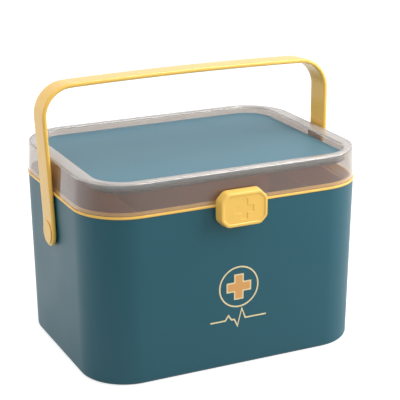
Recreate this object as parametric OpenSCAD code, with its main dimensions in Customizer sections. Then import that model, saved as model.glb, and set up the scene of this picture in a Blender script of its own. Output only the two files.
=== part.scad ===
/* [Bin] */
// Width of the bin at its base, left to right
base_w = 292.3; // [280:0.1:310]
// Depth of the bin at its base, front to back
base_d = 217.1; // [205:0.1:230]
// Outer radius of the upright corners at the base
corner_r = 47.5; // [44:0.1:52]
// Height of the bin without its rim frame
body_h = 170; // [160:0.5:190]
// How much further out each wall stands at the mouth than at the base
mouth_flare = 3.1; // [2:0.1:4.5]
// Thickness of the bin's walls
body_wall = 2.2; // [1.8:0.1:2.8]
// Thickness of the bin's floor
floor_t = 2.6; // [2:0.1:3.5]
// Radius of the rounded edge round the base
base_edge_r = 4; // [3.2:0.1:5]

/* [Rim frame] */
// How far the yellow flange stands out past the bin
rim_lap = 0.8; // [0.5:0.1:1.4]
// Thickness of the flange between bin and lid
rim_t = 2.2; // [1.8:0.1:3]
// Height of the lip that guides the lid, above the flange
lip_h = 3.3; // [2.5:0.1:4.5]
// Thickness of the lip and of the skirt under it
lip_t = 1.8; // [1.4:0.1:2.2]
// Gap between the lip and the lid's wall
lip_gap = 0.4; // [0.3:0.05:0.6]
// Gap between the skirt and the bin's wall
skirt_gap = 0.2; // [0.1:0.05:0.4]
// Width of the ledge that carries the tray
ledge_w = 3; // [2.5:0.1:4]
// Thickness of the ledge
ledge_t = 1.8; // [1.4:0.1:2.4]
// Depth of the ledge's upper face below the bin's mouth
ledge_drop = 4; // [3:0.1:6]

/* [Lid] */
// Height of the lid from its lower edge to the top of its border
lid_h = 31.7; // [28:0.1:36]
// Gap between the flange and the lid's lower edge
lid_gap = 0.3; // [0.2:0.05:0.5]
// Thickness of the lid's walls and top
lid_wall = 2.2; // [1.8:0.1:2.6]
// How much the lid's walls lean in up to the top
lid_taper = 1.5; // [0.8:0.1:2.5]
// Radius of the lid's upper edge
lid_edge_r = 2.2; // [1.6:0.1:4.5]
// Width of the border between the lid's outer edge and its panel, left and right
border_w = 15.2; // [12:0.1:22]
// Width of the border in front of and behind the panel
border_d = 8.2; // [7:0.1:22]
// Corner radius of the lid's panel
panel_r = 30; // [24:0.5:36]
// Thickness of the panel
panel_t = 2.2; // [1.6:0.1:3]
// Depth of the panel's face below the border
panel_drop = 7; // [2.5:0.1:9]
// Gap round the panel in its recess
panel_gap = 0.25; // [0.15:0.05:0.4]

/* [Handle] */
// Depth of the handle's pivots below the bin's mouth
pivot_drop = 40.7; // [36:0.1:50]
// Height of the grip's upper face above the pivots, at its ends
handle_h = 147.5; // [140:0.1:160]
// How far each pivot boss stands out of the bin's wall
boss_out = 1; // [0.8:0.1:3]
// How much further out each arm stands at the top than at its pivot
handle_spread = 3; // [2.4:0.1:6]
// Width of the strap
strap_w = 28.5; // [24:0.5:32]
// Thickness of the strap
strap_t = 4.4; // [3.4:0.1:4.8]
// Outer radius of the strap's upper corners
strap_r = 32; // [26:0.5:40]
// Rise of the grip's middle over its ends
grip_arch = 1.8; // [0:0.1:5]
// Angle by which the handle leans back as it stands
handle_lean = 3.4; // [0:0.1:8]
// Diameter of the round pivot caps
cap_d = 23; // [19:0.5:25]
// Thickness of the cap's disc
cap_t = 1.4; // [1.2:0.1:3]
// Diameter of the cap's bearing, on which the handle turns
bearing_d = 14; // [12:0.5:16]
// Diameter of the cap's neck in the bin's wall
neck_d = 9; // [8:0.5:10]
// Diameter of the screw that holds the cap
screw_d = 3; // [2.5:0.1:3.5]
// Diameter of the screw's washer head
screw_head_d = 13; // [11.5:0.5:15]
// Height of the screw's head
screw_head_t = 2; // [1.6:0.1:2.6]

/* [Hinges] */
// Distance of each hinge's middle from the box's middle
hinge_x = 72; // [55:1:76]
// Length of the lid's knuckle
lid_knuckle_len = 18; // [12:0.5:22]
// Length of each ear of the rim frame
ear_len = 10; // [7:0.5:11]
// Outer diameter of knuckle and ears
knuckle_d = 7; // [6:0.1:8]
// Diameter of the hinge pins
hinge_pin_d = 3; // [2.5:0.1:3.4]

/* [Latch] */
// Width of the button at its front face
button_w = 49; // [44:0.5:54]
// Height of the button at its front face
button_h = 33.4; // [32:0.1:36]
// Cut-off corner of the button, along each side
button_corner = 7; // [5:0.1:8]
// Radius that rounds the octagon's corners
button_corner_r = 6; // [3:0.1:6.5]
// Depth of the button's middle below the bin's mouth
button_drop = 2; // [1:0.1:3]
// Depth of the button from front face to rear edge
button_depth = 10.7; // [10:0.1:12]
// How much wider the button is at its rear edge, on each side
button_flare = 1.1; // [0.5:0.1:1.5]
// Wall thickness of the button
button_wall = 1.8; // [1.4:0.1:2.2]
// Gap between the button's rear edge and the rim frame's flange
button_gap = 1.4; // [1.2:0.1:2]
// Depth of the button's dished face
dish_depth = 0.8; // [0.4:0.1:1]
// Width of the raised rim round the dished face
dish_rim = 2.6; // [2:0.1:4]
// Length of the cross on the button's face
cross_len = 20; // [14:0.5:22]
// Width of the cross's arms
cross_arm = 7; // [5:0.5:8]
// Depth of the cross in the dished face
cross_depth = 0.5; // [0.3:0.1:0.8]
// Diameter of the button's pin
latch_pin_d = 3; // [2.5:0.1:3.2]
// Depth of the button's pin below the bin's mouth
latch_pin_drop = 7; // [6:0.1:8]
// Distance of the button's pin in front of the button's rear edge
latch_pin_in = 3.2; // [3:0.1:3.6]
// Width of the apron behind the button, which carries its pin and spring
apron_w = 30; // [26:0.5:32]
// Thickness of the two ears that hold the button's pin
latch_ear_t = 3.5; // [2.5:0.1:4]
// Thickness of the button's ribs beside the ears
latch_rib_t = 2.5; // [2:0.1:3]
// How far the hook reaches over the lid's catch
hook_bite = 1.2; // [0.8:0.1:1.4]
// Thickness of the hook
hook_t = 2.5; // [2:0.1:3]
// Width of the hook
hook_w = 22; // [16:0.5:26]
// Thickness of the lid's catch
catch_t = 2.5; // [2:0.1:3]
// How far the catch stands out of the lid's wall
catch_out = 1.6; // [1.4:0.1:1.8]
// Height of the catch above the lid's lower edge
catch_rise = 1.5; // [1.2:0.1:2]
// Gap between the hook and the catch under it
hook_gap = 0.3; // [0.2:0.05:0.5]
// Outer diameter of the button's spring
spring_d = 5.4; // [4.8:0.1:6]
// Wire thickness of the spring
spring_wire = 0.7; // [0.5:0.05:0.8]
// Number of curls of the spring
spring_turns = 5; // [4:1:6]

/* [Tray] */
// Height of the tray from floor to flange
tray_h = 48; // [36:0.5:52]
// Wall thickness of the tray
tray_wall = 1.6; // [1.4:0.1:2]
// How much the tray's walls lean in down to its floor
tray_taper = 1; // [0.6:0.1:2]
// Radius of the edge round the tray's floor
tray_edge_r = 5; // [3:0.5:8]
// Gap round the tray in the rim frame
tray_gap = 0.5; // [0.3:0.05:0.8]
// Distance of the side dividers from the tray's middle
divider_x = 92; // [70:1:94]
// Thickness of the dividers
divider_t = 1.6; // [1.2:0.1:2]
// Gap between a divider and its guide ribs
divider_gap = 0.15; // [0.1:0.05:0.3]
// Width of a guide rib
guide_w = 1.6; // [1.2:0.1:2]
// How far the guide ribs stand out of the tray's wall
guide_out = 3; // [2:0.1:4]

/* [Hidden] */
$fn = 96;

// Clearances of pins: one that is held, and one that is turned on
held_gap = 0.02;
turn_gap = 0.06;
// Small gap between pieces that rest on each other but come apart
rest_gap = 0.1;
// Gap between flat faces that pass each other
side_gap = 0.3;
// Overlap that joins two shapes of one piece
weld = 0.4;
// How far a cutting shape runs past what it cuts
past = 1;
// Steps of each rounded edge
edge_steps = 6;

// The upright corners of every ring share these axes
cx = base_w / 2 - corner_r;
cy = base_d / 2 - corner_r;

// Bin: distance of its outer face from the corner axes, at height z
function body_r(z) = corner_r + mouth_flare * z / body_h;
mouth_r = body_r(body_h);
mouth_inner_r = mouth_r - body_wall;

// Rim frame
flange_top = body_h + rim_t;
lip_top = flange_top + lip_h;
lip_outer_r = mouth_inner_r - lip_gap;
lip_inner_r = lip_outer_r - lip_t;
ledge_z = body_h - ledge_drop;
ledge_inner_r = lip_inner_r - ledge_w;
rim_front = cy + mouth_r + rim_lap;

// Lid
lid_bottom = flange_top + lid_gap;
lid_top = lid_bottom + lid_h;
lid_top_r = mouth_r - lid_taper;
function lid_r(z) = mouth_r - lid_taper * (z - lid_bottom) / lid_h;
recess_x = cx + lid_top_r - border_w;
recess_y = cy + lid_top_r - border_d;
recess_floor = lid_top - panel_drop - panel_t;
lid_ceiling = recess_floor - lid_wall;

// Handle pivots, with the arms' inner and outer faces there
pivot_z = body_h - pivot_drop;
wall_at_pivot = cx + body_r(pivot_z);
boss_inset = 4;
boss_face = wall_at_pivot + boss_out;
boss_r = strap_w / 2 - boss_inset;
eye_inner = boss_face + side_gap;
eye_outer = eye_inner + strap_t;
inner_boss_t = 1;
inner_boss_margin = 2;
inner_boss_face = wall_at_pivot - body_wall - inner_boss_t;
inner_boss_r = screw_head_d / 2 + inner_boss_margin;
cap_inner = eye_outer + side_gap;
cap_outer = cap_inner + cap_t;
cap_edge = 0.8;
neck_short = 0.2;
neck_end = inner_boss_face + neck_short;
cap_front_t = 1;
screw_tip = cap_inner - cap_front_t;
eye_run = 2;
arm_straight = strap_w / 2 + eye_run;
handle_half = eye_outer + handle_spread;
grip_half = handle_half - strap_r;

// Hinges
hinge_y = rim_front + knuckle_d / 2 + side_gap;
hinge_lift = 1;
hinge_z = body_h + hinge_lift;
hinge_len = lid_knuckle_len + 2 * side_gap + 2 * ear_len;
hinge_web_t = 2.5;

// Latch, with distances forward counted as positive
button_rear = rim_front + button_gap;
button_front = button_rear + button_depth;
button_z = body_h - button_drop;
latch_pin_z = body_h - latch_pin_drop;
dish_y = button_front - dish_depth;
button_skin = dish_y - button_wall;
latch_pin_y = button_rear + latch_pin_in;
apron_back = 0.2;
apron_front = button_rear - apron_back;
apron_gap = 0.15;
apron_foot_gap = 1;
apron_bottom = button_z - button_h / 2 + button_wall + apron_foot_gap;
latch_ear_inset = 0.5;
latch_ear_x = apron_w / 2 - latch_ear_t - latch_ear_inset;
latch_ear_r = latch_pin_in - apron_back;
latch_rib_gap = 1;
latch_rib_x = apron_w / 2 + latch_rib_gap;
latch_rib_rim = 1.8;
latch_rib_r = latch_pin_d / 2 + latch_rib_rim;
latch_pin_end = 0.5;
latch_pin_len = 2 * (latch_rib_x + latch_rib_t + latch_pin_end);
catch_bottom = lid_bottom + catch_rise;
catch_top = catch_bottom + catch_t;
catch_front = cy + lid_r(catch_bottom) + catch_out;
catch_over = 1;
catch_w = hook_w + 2 * catch_over;
hook_bottom = catch_top + hook_gap;
hook_tip = catch_front - hook_bite;
spring_clear = 0.4;
spring_z = apron_bottom + spring_d / 2 + spring_clear;
spring_mean_r = (spring_d - spring_wire) / 2;
spring_rear = apron_front + held_gap;
spring_front = button_skin - held_gap;
peg_r = spring_mean_r - spring_wire / 2 - spring_clear;
peg_len = 1.6;
spring_rings = 8;
spring_sides = 6;
spring_steps = spring_turns * spring_rings;
spring_run = spring_front - spring_rear - 2 * spring_wire;

// Tray
tray_flange_r = lip_inner_r - tray_gap;
tray_seat = ledge_z + rest_gap;
tray_top = tray_seat + tray_wall;
tray_bottom = tray_top - tray_h;
tray_top_r = ledge_inner_r - tray_gap;
function tray_r(z) = tray_top_r - tray_taper * (tray_top - z) / tray_h;
tray_inner_y = cy + tray_r(tray_bottom + tray_edge_r) - tray_wall;
divider_foot = tray_bottom + tray_wall + divider_gap;

// Points of an arc about c
function arc(c, r, a0, a1, n) =
  [for (i = [0 : n]) let (a = a0 + (a1 - a0) * i / n) c + r * [cos(a), sin(a)]];

function reversed(p) = [for (i = [len(p) - 1 : -1 : 0]) p[i]];

// Sweeps a profile round the box: x of the profile is the distance from the corner axes, y is the height
module round_the_box(ax, ay) {
  for (k = [0 : 3]) {
    sx = k == 0 || k == 3 ? 1 : -1;
    sy = k < 2 ? 1 : -1;
    translate([sx * ax, sy * ay, 0]) rotate([0, 0, 90 * k]) rotate_extrude(angle = 90) children();
  }
  for (m = [0, 1]) {
    mirror([m, 0, 0]) translate([ax, 0, 0]) rotate([90, 0, 0])
      linear_extrude(2 * ay, center = true) children();
    mirror([0, m, 0]) translate([0, ay, 0]) rotate([90, 0, 90])
      linear_extrude(2 * ax, center = true) children();
  }
}

// Flat plate between the corner axes, which closes a swept floor or top
module core_plate(ax, ay, z0, z1) {
  translate([-ax, -ay, z0]) cube([2 * ax, 2 * ay, z1 - z0]);
}

// Upright plate with round corners; hx and hy are its half sizes
module rounded_plate(hx, hy, r, z0, z1) {
  translate([0, 0, z0]) linear_extrude(z1 - z0) {
    square([2 * hx, 2 * (hy - r)], center = true);
    square([2 * (hx - r), 2 * hy], center = true);
    for (sx = [-1, 1], sy = [-1, 1]) translate([sx * (hx - r), sy * (hy - r)]) circle(r);
  }
}

// Cylinder along X from x0 to x1
module rod_x(r, x0, x1) {
  translate([x0, 0, 0]) rotate([0, 90, 0]) cylinder(r = r, h = x1 - x0);
}

module body_shell() {
  foot = body_r(base_edge_r) - base_edge_r;
  inner_r = base_edge_r - body_wall / 2;
  inner_foot = body_r(floor_t + inner_r) - body_wall - inner_r;
  color("#38646d")
  difference() {
    union() {
      round_the_box(cx, cy) polygon(concat(
        [[0, 0]],
        arc([foot, base_edge_r], base_edge_r, -90, 0, edge_steps),
        [[mouth_r, body_h], [mouth_inner_r, body_h]],
        arc([inner_foot, floor_t + inner_r], inner_r, 0, -90, edge_steps),
        [[0, floor_t]]));
      core_plate(cx, cy, 0, floor_t);
      for (side = [0, 1]) mirror([side, 0, 0]) translate([0, 0, pivot_z]) {
        rod_x(boss_r, wall_at_pivot - body_wall / 2, boss_face);
        rod_x(inner_boss_r, inner_boss_face, wall_at_pivot - body_wall / 2);
      }
    }
    for (side = [0, 1]) mirror([side, 0, 0]) translate([0, 0, pivot_z])
      rod_x(neck_d / 2 + held_gap, inner_boss_face - past, boss_face + past);
  }
}

module hinge_ears() {
  for (end = [-1, 1]) {
    inner = lid_knuckle_len / 2 + side_gap;
    x0 = end > 0 ? inner : -inner - ear_len;
    translate([x0, hinge_y, hinge_z]) rod_x(knuckle_d / 2, 0, ear_len);
    translate([x0, rim_front - weld - rim_lap, body_h])
      cube([ear_len, hinge_y - rim_front + weld + rim_lap, rim_t]);
  }
}

module latch_apron() {
  translate([-apron_w / 2, -apron_front, apron_bottom])
    cube([apron_w, apron_front - cy - mouth_r - apron_gap, flange_top - apron_bottom]);
  for (side = [0, 1]) mirror([side, 0, 0]) {
    translate([latch_ear_x, -latch_pin_y, latch_pin_z]) rod_x(latch_ear_r, 0, latch_ear_t);
    translate([latch_ear_x, -latch_pin_y, latch_pin_z - latch_ear_r])
      cube([latch_ear_t, latch_pin_y - apron_front + weld, 2 * latch_ear_r]);
  }
  translate([0, -apron_front + weld, spring_z]) rotate([90, 0, 0]) cylinder(r = peg_r, h = peg_len + weld);
}

module rim_frame() {
  skirt_bottom = ledge_z - ledge_t;
  skirt_top_r = mouth_inner_r - skirt_gap;
  skirt_low_r = body_r(skirt_bottom) - body_wall - skirt_gap;
  color("#eec06c")
  difference() {
    union() {
      round_the_box(cx, cy) polygon([
        [skirt_low_r, skirt_bottom],
        [skirt_top_r, body_h],
        [mouth_r + rim_lap, body_h],
        [mouth_r + rim_lap, flange_top],
        [lip_outer_r, flange_top],
        [lip_outer_r, lip_top],
        [lip_inner_r, lip_top],
        [lip_inner_r, ledge_z],
        [ledge_inner_r, ledge_z],
        [ledge_inner_r, skirt_bottom]]);
      for (side = [-1, 1]) translate([side * hinge_x, 0, 0]) hinge_ears();
      latch_apron();
    }
    for (side = [-1, 1]) translate([side * hinge_x, hinge_y, hinge_z])
      rod_x(hinge_pin_d / 2 + held_gap, -hinge_len / 2 - past, hinge_len / 2 + past);
    translate([0, -latch_pin_y, latch_pin_z])
      rod_x(latch_pin_d / 2 + held_gap, -latch_pin_len / 2, latch_pin_len / 2);
  }
}

module lid_cover() {
  edge_c = [lid_r(lid_top - lid_edge_r) - lid_edge_r, lid_top - lid_edge_r];
  inner_r = lid_edge_r - lid_wall / 2;
  inner_top = lid_top - lid_wall;
  inner_c = [lid_r(inner_top - inner_r) - lid_wall - inner_r, inner_top - inner_r];
  rim_x = recess_x + lid_wall;
  rim_y = recess_y + lid_wall;
  color("#8d8078", 0.55)
  difference() {
    union() {
      difference() {
        union() {
          round_the_box(cx, cy) polygon(concat(
            [[0, lid_top]],
            arc(edge_c, lid_edge_r, 90, 0, edge_steps),
            [[mouth_r, lid_bottom], [mouth_inner_r, lid_bottom]],
            arc(inner_c, inner_r, 0, 90, edge_steps),
            [[0, inner_top]]));
          core_plate(cx, cy, inner_top, lid_top);
          rounded_plate(rim_x, rim_y, panel_r + lid_wall, lid_ceiling, lid_top - lid_wall / 2);
        }
        rounded_plate(recess_x, recess_y, panel_r, recess_floor, lid_top + past);
      }
      for (side = [-1, 1]) translate([side * hinge_x, 0, 0]) lid_knuckle();
      translate([-catch_w / 2, -catch_front, catch_bottom])
        cube([catch_w, catch_out + lid_wall / 2, catch_t]);
    }
    for (side = [-1, 1]) translate([side * hinge_x, hinge_y, hinge_z])
      rod_x(hinge_pin_d / 2 + turn_gap, -lid_knuckle_len, lid_knuckle_len);
  }
}

module lid_knuckle() {
  translate([0, hinge_y, hinge_z]) rod_x(knuckle_d / 2, -lid_knuckle_len / 2, lid_knuckle_len / 2);
  web_y = cy + mouth_r - lid_wall / 2;
  translate([-lid_knuckle_len / 2, web_y, lid_bottom])
    cube([lid_knuckle_len, hinge_y - web_y, hinge_web_t]);
}

module lid_panel() {
  color("#7796a2")
  rounded_plate(recess_x - panel_gap, recess_y - panel_gap, panel_r - panel_gap, recess_floor,
    recess_floor + panel_t);
}

// Right half of the strap's outline seen from the front, set in by t, from the grip's middle down the arm
function strap_side(t) = concat(
  [for (i = [0 : edge_steps]) let (x = grip_half * i / edge_steps)
    [x, handle_h - t + grip_arch * (1 - pow(x / grip_half, 2))]],
  arc([grip_half, handle_h - strap_r], strap_r - t, 90, 0, 3 * edge_steps),
  [[eye_outer - t, arm_straight], [eye_outer - t, -strap_w / 2]]);

module strap_half() {
  rotate([90, 0, 0]) linear_extrude(strap_w, center = true)
    polygon(concat(strap_side(0), reversed(strap_side(strap_t))));
}

module handle_bail() {
  above = handle_h + grip_arch + past;
  beyond = handle_half + past;
  color("#f0c878")
  translate([0, 0, pivot_z]) rotate([-handle_lean, 0, 0]) difference() {
    intersection() {
      union() {
        strap_half();
        mirror([1, 0, 0]) strap_half();
      }
      union() {
        rod_x(strap_w / 2, -beyond, beyond);
        translate([-beyond, -strap_w / 2, 0]) cube([2 * beyond, strap_w, above]);
      }
    }
    rod_x(bearing_d / 2 + turn_gap, -beyond, beyond);
  }
}

// Pivot cap of the right side: disc, bearing and neck, drilled for its screw
module handle_cap() {
  bearing_r = bearing_d / 2;
  neck_r = neck_d / 2;
  core_r = screw_d / 2 + held_gap;
  color("#f3cf83")
  translate([0, 0, pivot_z]) rotate([0, 90, 0]) rotate_extrude() polygon([
    [core_r, neck_end],
    [neck_r, neck_end],
    [neck_r, boss_face],
    [bearing_r, boss_face],
    [bearing_r, cap_inner],
    [cap_d / 2, cap_inner],
    [cap_d / 2, cap_outer - cap_edge],
    [cap_d / 2 - cap_edge, cap_outer],
    [0, cap_outer],
    [0, cap_inner],
    [core_r, cap_inner]]);
}

module handle_screw() {
  bit = 3.4;
  bit_w = 0.9;
  color("#b9bcc0")
  translate([0, 0, pivot_z]) difference() {
    union() {
      rod_x(screw_d / 2, inner_boss_face - screw_head_t / 2, screw_tip);
      rod_x(screw_head_d / 2, inner_boss_face - screw_head_t / 2, inner_boss_face);
      rod_x(screw_d, inner_boss_face - screw_head_t, inner_boss_face - screw_head_t / 2);
    }
    for (turn = [0, 90]) rotate([turn, 0, 0])
      translate([inner_boss_face - screw_head_t - past, -bit / 2, -bit_w / 2]) cube([2 * past, bit, bit_w]);
  }
}

module handle_cap_left() {
  mirror([1, 0, 0]) handle_cap();
}

module handle_cap_right() {
  handle_cap();
}

module handle_screw_left() {
  mirror([1, 0, 0]) handle_screw();
}

module handle_screw_right() {
  handle_screw();
}

// Octagon with round corners that lies a given distance inside the outline of the button's front
module octagon(inset) {
  r = button_corner_r - inset;
  x = button_w / 2 - button_corner_r;
  z = button_h / 2 - button_corner_r;
  cut = button_corner - button_corner_r * (2 - sqrt(2));
  corners = [[x, z - cut], [x - cut, z], [cut - x, z], [-x, z - cut], [-x, cut - z], [cut - x, -z],
    [x - cut, -z], [x, cut - z]];
  polygon([for (i = [0 : 7]) each arc(corners[i], r, 45 * i, 45 * (i + 1), 3)]);
}

// Upright slab of the octagon, from y0 forward to y1, both counted forward from the box's middle
module octagon_slab(inset, y0, y1) {
  translate([0, -y0, button_z]) rotate([90, 0, 0]) linear_extrude(y1 - y0)
    octagon(inset);
}

module latch_button() {
  slice = 0.01;
  rear_slab = 1.2;
  color("#efbf6a")
  difference() {
    union() {
      difference() {
        hull() {
          octagon_slab(-button_flare, button_rear, button_rear + rear_slab);
          octagon_slab(0, button_front - slice, button_front);
        }
        octagon_slab(button_wall, button_rear - past, button_skin);
        octagon_slab(dish_rim, dish_y, button_front + past);
        for (size = [[cross_len, cross_arm], [cross_arm, cross_len]])
          translate([-size[0] / 2, -dish_y - past, button_z - size[1] / 2])
            cube([size[0], past + cross_depth, size[1]]);
      }
      for (side = [0, 1]) mirror([side, 0, 0]) {
        translate([latch_rib_x, -latch_pin_y, latch_pin_z]) rod_x(latch_rib_r, 0, latch_rib_t);
        translate([latch_rib_x, -button_skin - weld, latch_pin_z - latch_rib_r])
          cube([latch_rib_t, button_skin + weld - latch_pin_y, 2 * latch_rib_r]);
      }
      translate([-hook_w / 2, -button_skin - weld, hook_bottom])
        cube([hook_w, button_skin + weld - hook_tip, hook_t]);
      translate([0, -button_skin - weld, spring_z]) rotate([-90, 0, 0])
        cylinder(r = peg_r, h = peg_len + weld);
    }
    translate([0, -latch_pin_y, latch_pin_z])
      rod_x(latch_pin_d / 2 + turn_gap, -latch_pin_len, latch_pin_len);
  }
}

module latch_pin() {
  color("#c6c8ca")
  translate([0, -latch_pin_y, latch_pin_z]) rod_x(latch_pin_d / 2, -latch_pin_len / 2, latch_pin_len / 2);
}

// Middle line of the spring's wire: a helix with a short straight end at both seats
spring_line = concat(
  [[spring_mean_r, 0, 0]],
  [for (i = [0 : spring_steps]) let (a = 360 * i / spring_rings)
    [spring_mean_r * cos(a), spring_mean_r * sin(a), spring_wire + spring_run * i / spring_steps]],
  [[spring_mean_r, 0, spring_front - spring_rear]]);

function unit(v) = v / norm(v);
function along(p, i) = i == 0 || i == len(p) - 1
  ? [0, 0, 1]
  : unit(unit(p[i] - p[i - 1]) + unit(p[i + 1] - p[i]));

module tube(p, r, n) {
  rings = [for (i = [0 : len(p) - 1]) let (
      t = along(p, i),
      out = unit(cross(t, cross([p[i][0], p[i][1], 0], t))),
      up = cross(t, out))
    [for (k = [0 : n - 1]) p[i] + r * (cos(360 * k / n) * out + sin(360 * k / n) * up)]];
  points = [for (ring = rings) for (q = ring) q];
  last = len(p) - 1;
  sides = [for (i = [0 : last - 1]) for (k = [0 : n - 1]) let (a = i * n + k, b = i * n + (k + 1) % n)
    for (face = [[a, a + n, b], [b, a + n, b + n]]) face];
  start_cap = [for (k = [1 : n - 2]) [0, k, k + 1]];
  end_cap = [for (k = [1 : n - 2]) [last * n, last * n + k + 1, last * n + k]];
  polyhedron(points, concat(sides, start_cap, end_cap));
}

spring_gap = min([for (i = [0 : spring_steps + 2])
  for (j = [i + spring_rings / 2 : 1 : spring_steps + 2])
    norm(spring_line[i] - spring_line[j])]) - spring_wire;
echo("least gap of the latch spring to itself", spring_gap);

module latch_spring() {
  color("#d0d2d4")
  translate([0, -spring_rear, spring_z]) rotate([90, 0, 0])
    tube(spring_line, spring_wire / 2, spring_sides);
}

module hinge_pin(side) {
  color("#c6c8ca")
  translate([side * hinge_x, hinge_y, hinge_z]) rod_x(hinge_pin_d / 2, -hinge_len / 2, hinge_len / 2);
}

module hinge_pin_left() {
  hinge_pin(-1);
}

module hinge_pin_right() {
  hinge_pin(1);
}

module upper_tray() {
  low = tray_bottom + tray_edge_r;
  inner_r = tray_edge_r - tray_wall;
  out_c = [tray_r(low) - tray_edge_r, low];
  color("#6f625b", 0.7) {
    round_the_box(cx, cy) polygon(concat(
      [[0, tray_bottom]],
      arc(out_c, tray_edge_r, -90, 0, edge_steps),
      [[tray_top_r, tray_seat], [tray_flange_r, tray_seat], [tray_flange_r, tray_top]],
      [[tray_top_r - tray_wall, tray_top]],
      arc(out_c, inner_r, 0, -90, edge_steps),
      [[0, tray_bottom + tray_wall]]));
    core_plate(cx, cy, tray_bottom, tray_bottom + tray_wall);
    for (x = [-divider_x, divider_x], end = [-1, 1], half = [-1, 1]) guide_rib(x, end, half);
  }
}

// One of the two ribs that hold a divider's edge: end is front or back, half is left or right of it
module guide_rib(x, end, half) {
  pitch = divider_t / 2 + divider_gap + guide_w / 2;
  reach = guide_out + tray_taper + weld;
  y = end > 0 ? tray_inner_y - guide_out : guide_out - tray_inner_y - reach;
  translate([x + half * pitch - guide_w / 2, y, tray_bottom + tray_edge_r])
    cube([guide_w, reach, tray_h - tray_edge_r]);
}

module side_divider(side) {
  half = tray_inner_y - divider_gap;
  color("#7a6d66", 0.8)
  translate([side * divider_x + divider_t / 2, 0, 0]) rotate([0, -90, 0]) linear_extrude(divider_t)
    polygon([[divider_foot, tray_edge_r - half], [divider_foot, half - tray_edge_r],
      [divider_foot + tray_edge_r, half], [tray_top, half], [tray_top, -half],
      [divider_foot + tray_edge_r, -half]]);
}

module tray_divider_left() {
  side_divider(-1);
}

module tray_divider_right() {
  side_divider(1);
}

module tray_divider_middle() {
  half = divider_x - divider_t / 2 - divider_gap;
  color("#7a6d66", 0.8)
  translate([-half, -divider_t / 2, divider_foot]) cube([2 * half, divider_t, tray_top - divider_foot]);
}

body_shell();
rim_frame();
lid_cover();
lid_panel();
handle_bail();
handle_cap_left();
handle_cap_right();
handle_screw_left();
handle_screw_right();
latch_button();
latch_pin();
latch_spring();
hinge_pin_left();
hinge_pin_right();
upper_tray();
tray_divider_left();
tray_divider_right();
tray_divider_middle();
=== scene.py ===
# %% [markdown]
# # A medicine storage box
#
# The real object is a household medicine box: a teal bin, a yellow rim frame, a smoky see-through lid with a
# panel sunk into its top, a swinging bail handle, a rocker latch and a lift-out tray. Its working shape comes
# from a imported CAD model. Blender's share is what the eye judges: soft moulded edges, plastic that looks like
# plastic, and light. All sizes below are real millimetres, and everything sits in the CAD model's own frame,
# with +X to the right, -Y to the front and +Z up.

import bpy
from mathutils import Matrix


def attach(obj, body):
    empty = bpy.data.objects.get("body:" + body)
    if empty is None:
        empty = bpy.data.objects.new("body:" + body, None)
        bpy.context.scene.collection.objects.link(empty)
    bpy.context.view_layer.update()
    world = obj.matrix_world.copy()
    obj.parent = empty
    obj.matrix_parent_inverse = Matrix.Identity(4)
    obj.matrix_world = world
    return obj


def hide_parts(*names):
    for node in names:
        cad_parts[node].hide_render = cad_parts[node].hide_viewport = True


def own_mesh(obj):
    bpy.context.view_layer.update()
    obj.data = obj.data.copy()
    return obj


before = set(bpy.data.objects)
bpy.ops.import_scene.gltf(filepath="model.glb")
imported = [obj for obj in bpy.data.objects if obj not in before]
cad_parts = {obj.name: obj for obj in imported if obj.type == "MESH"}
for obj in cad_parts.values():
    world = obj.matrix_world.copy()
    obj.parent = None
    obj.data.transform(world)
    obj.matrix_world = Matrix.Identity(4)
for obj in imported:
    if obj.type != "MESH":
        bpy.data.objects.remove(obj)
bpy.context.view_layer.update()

# %% Other modules and the unit
import math

import bmesh
import bpy
from mathutils import Matrix, Quaternion, Vector

MM = 0.001
scene = bpy.context.scene
scene.view_settings.view_transform = "Standard"

# %% [markdown]
# ## The camera
#
# The view is a product shot: a long lens, a little above the lid and 25 degrees to its left. A camera can be
# aimed with a constraint, but plain numbers are surer here: the outlines of bin, lid and handle were fitted
# once with a perspective camera, and that fit gives its place, its lens and a very small roll.

# %% Camera
CAMERA_AZIMUTH = math.radians(-25.277)
CAMERA_ELEVATION = math.radians(18.27)
CAMERA_ROLL = math.radians(-0.187)
CAMERA_DISTANCE = 1274.309
CAMERA_TARGET = Vector((-24.204, -76.511, 166.483))
CAMERA_LENS = 118.49


def aimed(name, data, position, direction, roll=0.0):
    """A camera or lamp at a position in metres that looks along a direction."""
    thing = bpy.data.objects.new(name, data)
    scene.collection.objects.link(thing)
    thing.location = position
    thing.rotation_mode = "QUATERNION"
    thing.rotation_quaternion = direction.to_track_quat("-Z", "Y") @ Quaternion((0, 0, 1), roll)
    return thing


back = Vector((
    math.sin(CAMERA_AZIMUTH) * math.cos(CAMERA_ELEVATION),
    -math.cos(CAMERA_AZIMUTH) * math.cos(CAMERA_ELEVATION),
    math.sin(CAMERA_ELEVATION),
))
camera_data = bpy.data.cameras.new("product_camera")
camera_data.lens = CAMERA_LENS
camera_data.sensor_width = 36
camera_data.clip_start = 0.05
camera_data.clip_end = 20
camera_place = (CAMERA_TARGET + back * CAMERA_DISTANCE) * MM
scene.camera = aimed("product_camera", camera_data, camera_place, -back, CAMERA_ROLL)
print("camera at", tuple(round(c, 3) for c in camera_place), "m")

# %% [markdown]
# ## Sizes that several pieces share
#
# Bin, rim, lid and tray are all rounded rectangles whose four upright corners turn about the same axes. So
# one number, the distance from those corner axes, says how wide any of them is at a given height. Keeping to
# that one measure makes every gap between the pieces even all the way round.

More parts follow.
